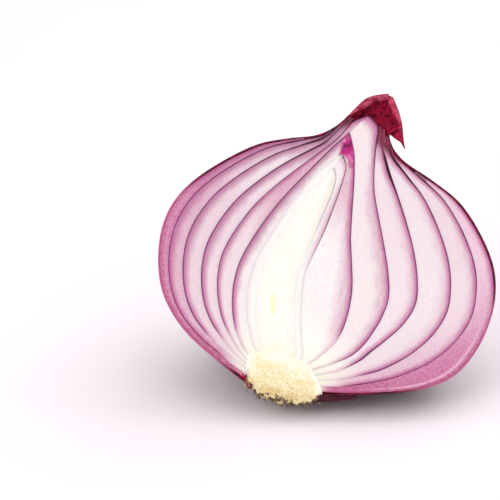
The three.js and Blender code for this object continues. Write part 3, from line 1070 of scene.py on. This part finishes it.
def dry_skin():
    """The skin with its ribs, and with folds where it hoods the neck."""
    columns = 121
    left, right = skin_sides()
    height = (left[:, 1] + right[:, 1]) / 2
    hood = smooth(height, NECK_FOOT + 2, NECK_FOOT + 9)[:, None]
    grid = half_tube(left, right, columns)
    grid[..., 2] *= 1 - 0.3 * hood
    angle = np.broadcast_to(np.linspace(0, math.pi, columns)[None, :], grid.shape[:2])
    normal = unit_normals(grid)
    lengthwise = np.dstack([angle * 9, grid[..., 1] * 0.05, 0 * angle])
    ribs = rough(lengthwise, 1.0, 31)
    folds = rough(lengthwise * [1.3, 4.0, 1.0], 1.0, 32)
    to_edge = np.minimum(angle, math.pi - angle)
    near_edge = np.exp(-to_edge / 0.05)
    push = 0.06 * np.abs(ribs) + 0.05 * (1 + folds) * (1 - hood)
    push = push - hood * (0.35 * (1 + folds) + 0.35 * rough(grid, 1.2, 34))
    grid = grid + normal * (push * (1 - 0.8 * near_edge))[..., None]
    grid[..., 2] += near_edge * 0.12 * rough(grid, 2.5, 33)
    shape = Shape()
    on_right = angle < math.pi / 2
    pink = np.where(on_right, edge_pink("right", grid[..., 1]), edge_pink("left", grid[..., 1]))
    sheet(shape, grid, SKIN_THICKNESS, around=angle, pink=pink * np.exp(-to_edge / 0.012))
    for side, edge in zip(SIDES, (left, right)):
        curled_lip(shape, edge, side)
    hanging_flap(shape)
    for start, end, width in SHREDS:
        torn_shred(shape, np.array(start), np.array(end), width)
    return shape


# Height at which the hood's lip starts to curl, and its width
LIP_FOOT = {"left": NECK_FOOT + 7, "right": NECK_FOOT + 7.5}
LIP_WIDTH = {"left": 1.5, "right": 1.3}
LIP_COLUMNS = 9


def curled_lip(shape, edge, side):
    """The rim of the hood, curled forward and paler."""
    rows = edge[edge[:, 1] > LIP_FOOT[side]]
    taper = np.minimum(run_from_root(rows) / 4, 1)
    uneven = 1 + 0.25 * rough(np.pad(rows, ((0, 0), (0, 1))), 1.4, 41)
    width = LIP_WIDTH[side] * taper * uneven
    grid = []
    for share in np.linspace(-0.12, 1, LIP_COLUMNS):
        line = moved_out(rows, side, -width * share)
        rise = 0.75 * taper * math.sin(math.pi * max(share, 0) * 0.85) + 0.05
        grid.append(np.column_stack([line, rise]))
    grid = np.stack(grid, axis=1)
    grid[..., 2] += 0.14 * rough(grid, 0.8, 42)
    paleness = np.linspace(1, 0.75, LIP_COLUMNS)[None, :]
    sheet(shape, grid, 0.25, around=grid[..., 0] * 0.2, blush=paleness)


# Torn ends of the skin beside the root plate: foot, tip and width of each
SHREDS = [
    ((-14.6, 2.6, -0.5), (-9.4, 0.1, 0.15), 0.9),
    ((-13.0, 1.4, -0.9), (-8.2, -0.9, -0.3), 1.0),
    ((-11.8, 0.9, -0.4), (-8.9, -0.2, 0.35), 0.7),
    ((16.5, 4.9, -0.9), (1.6, -0.4, -1.2), 2.2),
    ((12.0, 3.2, -0.6), (5.2, 1.1, -0.3), 1.5),
    ((9.0, 2.6, -0.4), (6.4, 1.7, 0.25), 0.8),
]


def torn_shred(shape, start, end, width):
    """A thin, crumpled strip of skin that narrows to its tip."""
    along = np.linspace(0, 1, 24)[:, None, None]
    across = np.linspace(-0.5, 0.5, 5)[None, :, None] * np.array([0.15, 1.0, 0.4])
    grid = mix(start, end, along) + across * width * np.sin(np.pi * (0.04 + 0.92 * along))
    grid = grid + np.sin(along * 7 + start[0]) * np.array([0.0, 0.15, 0.1])
    grid[..., 2] += 0.2 * rough(grid, 0.8, 46)
    # around 0 gives the right-hand shreds the painted shade of the skin's cut edges; the left-hand ones
    # keep their crimson
    sheet(shape, grid, 0.14, around=1.5 if start[0] < 0 else 0.0, blush=0.08)


# Edges of the torn flap that hangs down right of the neck, each from the hood to its tip
FLAP_TOP = np.array([[7.3, 70.5], [7.75, 69.6], [8.3, 68.2], [8.9, 66.8], [9.7, 65.35]])
FLAP_FOOT = np.array([[4.3, 68.1], [5.9, 67.5], [7.2, 67.0], [8.2, 66.7], [9.65, 65.3]])


def hanging_flap(shape):
    """The torn flap, bent back between its edges and thinner towards its tip."""
    along = np.linspace(0, 1, 40)
    across = np.linspace(0, 1, 16)
    top, foot = spline(FLAP_TOP, along), spline(FLAP_FOOT, along)
    grid = mix(foot[:, None, :], top[:, None, :], across[None, :, None])
    w = -0.5 - 0.9 * np.sin(np.pi * across)[None, :] * (1 - along[:, None]) - 0.4 * along[:, None]
    grid = np.dstack([grid, w])
    grid[..., 2] += 0.35 * rough(grid, 1.1, 44) * (1 - along[:, None])
    lip = smooth(across, 0.55, 1.0)[None, :] * 0.85
    sheet(shape, grid, 0.3 - 0.12 * along[:, None], around=grid[..., 0] * 0.3, blush=lip)


dry_skin().build("dry_skin_papery", skin_material(), "dry_skin", "dry_skin", lowest=0.0)


# ---- floor, lights, camera

# In metres and watts. A white sky and three large lights make soft shadows.
LIGHT_AIM = (-0.01, 0, 0.03)
LIGHTS = {
    "overhead": {"place": (0.1, -0.05, 0.95), "size": 1.2, "watts": 2.8},
    "back_right": {"place": (0.6, 0.45, 0.45), "size": 0.9, "watts": 3.0},
    "front": {"place": (-0.45, -0.7, 0.7), "size": 0.5, "watts": 2.7},
}
SKY_STRENGTH = 0.68
FLOOR_SIZE = 3.0
FLOOR_WHITE = colour(253, 244, 250)

# The camera looks at the cut face almost square on, and aims beside it. It sees a stretch
# FRAME_WIDTH wide at its distance.
CAMERA_ELEVATION = math.radians(27)
CAMERA_DISTANCE = 0.8
SENSOR_WIDTH = 36
FRAME_WIDTH = 0.12085
AIM_UV = (-19.15, 31.0)


def white_floor():
    mesh = bpy.data.meshes.new("floor")
    corners = [(x * FLOOR_SIZE, y * FLOOR_SIZE, 0) for x, y in ((-1, -1), (1, -1), (1, 1), (-1, 1))]
    mesh.from_pydata(corners, [], [(0, 1, 2, 3)])
    mesh.materials.append(Nodes("floor").finish(FLOOR_WHITE, 0.6))
    surface = add_object("floor", mesh)


def area_light(name, place, size, watts):
    data = bpy.data.lights.new(name, "AREA")
    data.shape, data.size, data.energy = "SQUARE", size, watts
    light = add_object(name, data)
    light.location = place
    light.rotation_mode = "QUATERNION"
    light.rotation_quaternion = (Vector(LIGHT_AIM) - Vector(place)).to_track_quat("-Z", "Y")


def white_sky():
    world = bpy.data.worlds.new("studio")
    world.use_nodes = True
    background = world.node_tree.nodes["Background"]
    background.inputs["Color"].default_value = (1, 1, 1, 1)
    background.inputs["Strength"].default_value = SKY_STRENGTH
    bpy.context.scene.world = world


def camera():
    back = Vector((0, -math.cos(CAMERA_ELEVATION), math.sin(CAMERA_ELEVATION)))
    data = bpy.data.cameras.new("camera")
    data.sensor_width = SENSOR_WIDTH
    data.lens = SENSOR_WIDTH * CAMERA_DISTANCE / FRAME_WIDTH
    data.clip_start, data.clip_end = 0.05, 10
    view = add_object("camera", data)
    view.location = Vector(to_world([*AIM_UV, 0])) + back * CAMERA_DISTANCE
    view.rotation_mode = "QUATERNION"
    view.rotation_quaternion = (-back).to_track_quat("-Z", "Y")
    bpy.context.scene.camera = view


white_floor()
white_sky()
for name, light in LIGHTS.items():
    area_light(name, **light)
camera()
bpy.context.scene.view_settings.view_transform = "Standard"
